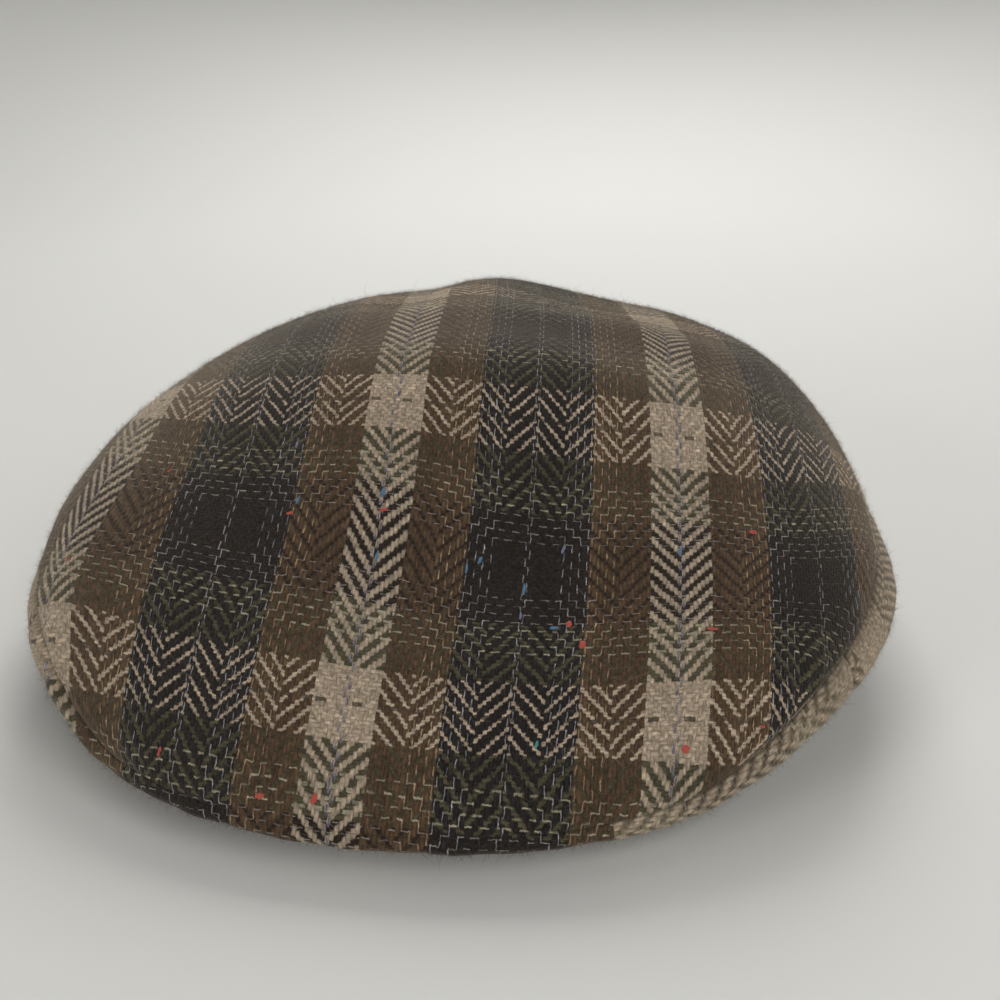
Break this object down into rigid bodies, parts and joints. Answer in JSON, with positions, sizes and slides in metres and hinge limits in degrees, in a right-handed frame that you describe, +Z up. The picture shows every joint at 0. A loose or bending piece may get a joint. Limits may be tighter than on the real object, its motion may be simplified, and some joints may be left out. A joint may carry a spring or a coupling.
{
  "type": "flat cap",
  "caption": "Flat cap of checked herringbone tweed: a large top panel drawn forward over a stiff peak, side panels below a seam, open underneath for the head.",
  "frame": {"origin": "centre of the cap's box, on the plane of the rim that it rests on", "axes": "+Z up, -Y towards the peak, +X towards the wearer's left"},
  "size_m": [0.232, 0.267, 0.0887],
  "materials": {
    "top_tweed": "woollen herringbone tweed in brown and navy with a cream and green check",
    "side_tweed": "the same tweed, cut with a cream stripe of the check along the seam",
    "peak_tweed": "the same tweed, drawn over the peak"
  },
  "bodies": {
    "root": {"crown_top": "top_tweed", "side_panel_left": "side_tweed", "side_panel_right": "side_tweed", "peak": "peak_tweed"}
  },
  "joints": []
}
